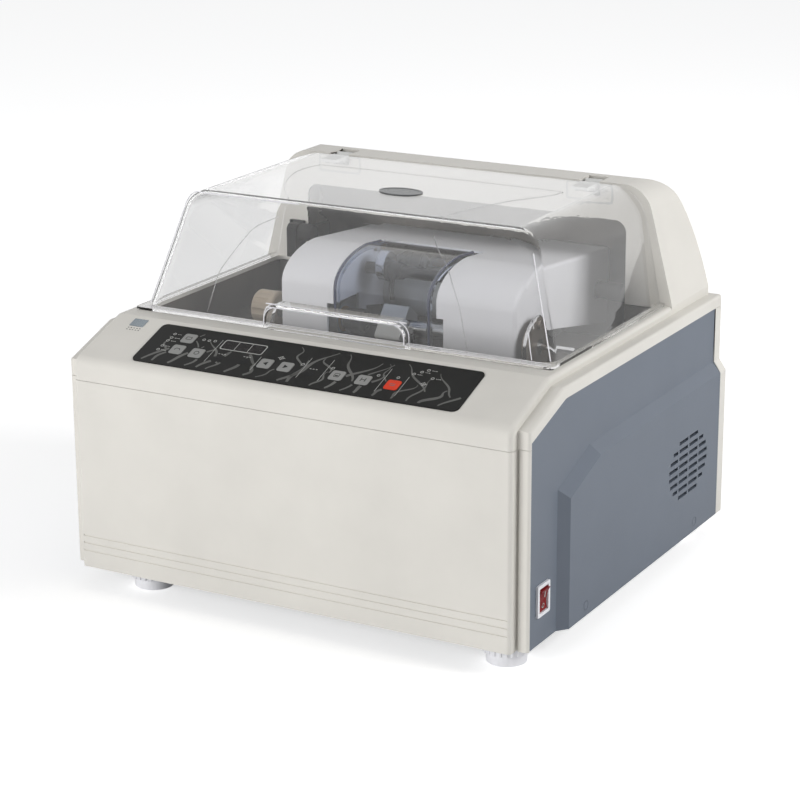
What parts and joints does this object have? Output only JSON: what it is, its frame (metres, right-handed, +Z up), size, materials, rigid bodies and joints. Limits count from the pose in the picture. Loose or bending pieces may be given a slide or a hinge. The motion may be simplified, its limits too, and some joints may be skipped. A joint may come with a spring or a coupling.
{
  "type": "optical lens edger",
  "caption": "Bench lens edger with a clear hinged hood, a swinging head that traverses over grinding wheels in a wet tray, a control slope and a vented side.",
  "frame": {"origin": "centre of the bounding box at the plane on which the feet stand", "axes": "+X to the right with the vent and mains switch, -Y to the front with the control slope, +Z up"},
  "size_m": [0.5096, 0.4484, 0.379],
  "materials": {
    "ivory_plastic": "moulded, fine texture",
    "panel_grey": "blue-grey paint",
    "white_plastic": "moulded",
    "pale_grey_plastic": "moulded",
    "cream_plastic": "moulded",
    "tray_plastic": "moulded",
    "black_plastic": "moulded",
    "clear_hood": "clear, faintly blue",
    "clear_visor": "clear",
    "overlay_black": "glossy film",
    "display_red": "tinted window",
    "key_grey": "moulded",
    "key_red": "moulded",
    "rocker_red": "translucent red",
    "zinc_steel": "zinc plated",
    "bright_steel": "machined",
    "core_steel": "laminated",
    "chromed_steel": "polished",
    "cast_aluminium": "as cast",
    "bronze": "machined",
    "wheel_bond": "bonded abrasive",
    "motor_black": "satin paint",
    "black_rubber": "matt",
    "board_green": "solder mask"
  },
  "bodies": {
    "housing": {"base_plate": "zinc_steel", "lower_housing": "ivory_plastic", "upper_shell": "ivory_plastic", "left_side_panel": "panel_grey", "right_side_panel": "panel_grey", "rear_panel": "ivory_plastic", "panel_screw_caps": "panel_grey", "feet": "white_plastic", "wet_tray": "tray_plastic", "hinge_brackets": "bright_steel", "frame_plates": "zinc_steel", "carriage_shaft": "chromed_steel", "traverse_motor": "motor_black", "traverse_stop": "bright_steel", "stop_bumper": "black_rubber", "spindle_housing": "bright_steel", "drive_belt": "black_rubber", "motor_housing": "motor_black", "control_overlay": "overlay_black", "display_window": "display_red", "circuit_boards": "board_green", "switch_housing": "white_plastic", "fan_frame": "black_plastic", "mains_inlet": "black_plastic", "transformer": "core_steel"},
    "hood_unit": {"hood": "clear_hood", "hood_hinge_arms": "bright_steel"},
    "carriage": {"carriage_sleeve": "bronze"},
    "traverse_screw": {"lead_screw": "chromed_steel"},
    "head": {"head_frame": "cast_aluminium", "head_cover": "white_plastic", "cross_tube": "pale_grey_plastic", "head_bushes": "bronze", "lens_drive_belts": "black_rubber", "lens_motor": "motor_black", "water_bar": "black_plastic"},
    "visor": {"lens_visor": "clear_visor"},
    "lay_drive": {"layshaft": "chromed_steel"},
    "left_drive": {"left_lens_pulley": "cast_aluminium"},
    "left_clamp": {"left_lens_shaft": "chromed_steel", "left_chuck": "black_rubber", "clamp_knob": "cream_plastic"},
    "right_spindle": {"right_lens_shaft": "chromed_steel", "right_chuck": "pale_grey_plastic", "template_disc": "chromed_steel"},
    "wheel_stack": {"wheel_spindle": "chromed_steel", "roughing_wheel": "wheel_bond", "bevel_wheel": "wheel_bond", "finishing_wheel": "wheel_bond"},
    "motor_core": {"motor_rotor": "bright_steel"},
    "fan_impeller": {"fan_rotor": "black_plastic"},
    "switch_rocker": {"power_rocker": "rocker_red"},
    "key_mode_cap": {"key_mode": "key_grey"},
    "key_frame_cap": {"key_frame": "key_grey"},
    "key_lens_cap": {"key_lens": "key_grey"},
    "key_size_down_cap": {"key_size_down": "key_grey"},
    "key_size_up_cap": {"key_size_up": "key_grey"},
    "key_left_cap": {"key_left": "key_grey"},
    "key_right_cap": {"key_right": "key_grey"},
    "key_start_cap": {"key_start": "key_red"}
  },
  "joints": [
    {"name": "hood_hinge", "type": "hinge", "parent": "housing", "child": "hood_unit", "pos_m": [0, 0.1378, 0.3745], "axis": [-1, 0, 0], "range_deg": [0, 110]},
    {"name": "head_traverse", "type": "slide", "parent": "housing", "child": "carriage", "axis": [1, 0, 0], "range_m": [-0.05, 0.014]},
    {"name": "traverse_screw_spin", "type": "hinge", "parent": "housing", "child": "traverse_screw", "pos_m": [0, 0.1878, 0.246], "axis": [1, 0, 0], "range_deg": [-1265, 4505]},
    {"name": "head_swing", "type": "hinge", "parent": "carriage", "child": "head", "pos_m": [0, 0.1508, 0.262], "axis": [-1, 0, 0], "range_deg": [0, 14]},
    {"name": "visor_hinge", "type": "hinge", "parent": "head", "child": "visor", "pos_m": [0, 0.0598, 0.3025], "axis": [-1, 0, 0], "range_deg": [0, 45]},
    {"name": "lens_drive_spin", "type": "hinge", "parent": "head", "child": "lay_drive", "pos_m": [0, 0.0898, 0.254], "axis": [1, 0, 0], "continuous": true},
    {"name": "left_lens_spin", "type": "hinge", "parent": "head", "child": "left_drive", "pos_m": [0, -0.0042, 0.243], "axis": [1, 0, 0], "continuous": true},
    {"name": "lens_clamp", "type": "slide", "parent": "left_drive", "child": "left_clamp", "axis": [1, 0, 0], "range_m": [0, 0.017]},
    {"name": "right_lens_spin", "type": "hinge", "parent": "head", "child": "right_spindle", "pos_m": [0, -0.0042, 0.243], "axis": [1, 0, 0], "continuous": true},
    {"name": "wheel_spin", "type": "hinge", "parent": "housing", "child": "wheel_stack", "pos_m": [0, -0.0042, 0.1715], "axis": [1, 0, 0], "continuous": true},
    {"name": "motor_spin", "type": "hinge", "parent": "housing", "child": "motor_core", "pos_m": [0, 0.1458, 0.098], "axis": [1, 0, 0], "continuous": true},
    {"name": "fan_spin", "type": "hinge", "parent": "housing", "child": "fan_impeller", "pos_m": [0.24, 0.1313, 0.099], "axis": [1, 0, 0], "continuous": true},
    {"name": "mains_rocker", "type": "hinge", "parent": "housing", "child": "switch_rocker", "pos_m": [0.2444, -0.1839, 0.0646], "axis": [0, -1, 0], "range_deg": [0, 18]},
    {"name": "key_mode_press", "type": "slide", "parent": "housing", "child": "key_mode_cap", "axis": [0, 0.3409, -0.9401], "range_m": [0, 0.0004], "stiffness_N_per_m": 800, "springref_m": -0.0005},
    {"name": "key_frame_press", "type": "slide", "parent": "housing", "child": "key_frame_cap", "axis": [0, 0.3409, -0.9401], "range_m": [0, 0.0004], "stiffness_N_per_m": 800, "springref_m": -0.0005},
    {"name": "key_lens_press", "type": "slide", "parent": "housing", "child": "key_lens_cap", "axis": [0, 0.3409, -0.9401], "range_m": [0, 0.0004], "stiffness_N_per_m": 800, "springref_m": -0.0005},
    {"name": "key_size_down_press", "type": "slide", "parent": "housing", "child": "key_size_down_cap", "axis": [0, 0.3409, -0.9401], "range_m": [0, 0.0004], "stiffness_N_per_m": 800, "springref_m": -0.0005},
    {"name": "key_size_up_press", "type": "slide", "parent": "housing", "child": "key_size_up_cap", "axis": [0, 0.3409, -0.9401], "range_m": [0, 0.0004], "stiffness_N_per_m": 800, "springref_m": -0.0005},
    {"name": "key_left_press", "type": "slide", "parent": "housing", "child": "key_left_cap", "axis": [0, 0.3409, -0.9401], "range_m": [0, 0.0004], "stiffness_N_per_m": 800, "springref_m": -0.0005},
    {"name": "key_right_press", "type": "slide", "parent": "housing", "child": "key_right_cap", "axis": [0, 0.3409, -0.9401], "range_m": [0, 0.0004], "stiffness_N_per_m": 800, "springref_m": -0.0005},
    {"name": "key_start_press", "type": "slide", "parent": "housing", "child": "key_start_cap", "axis": [0, 0.3409, -0.9401], "range_m": [0, 0.0004], "stiffness_N_per_m": 800, "springref_m": -0.0005}
  ],
  "couplings": [
    {"joint": "left_lens_spin", "follows": "lens_drive_spin", "ratio": 1},
    {"joint": "right_lens_spin", "follows": "lens_drive_spin", "ratio": 1},
    {"joint": "motor_spin", "follows": "wheel_spin", "ratio": 0.75},
    {"joint": "traverse_screw_spin", "follows": "head_traverse", "rad_per_m": -1570.8}
  ]
}
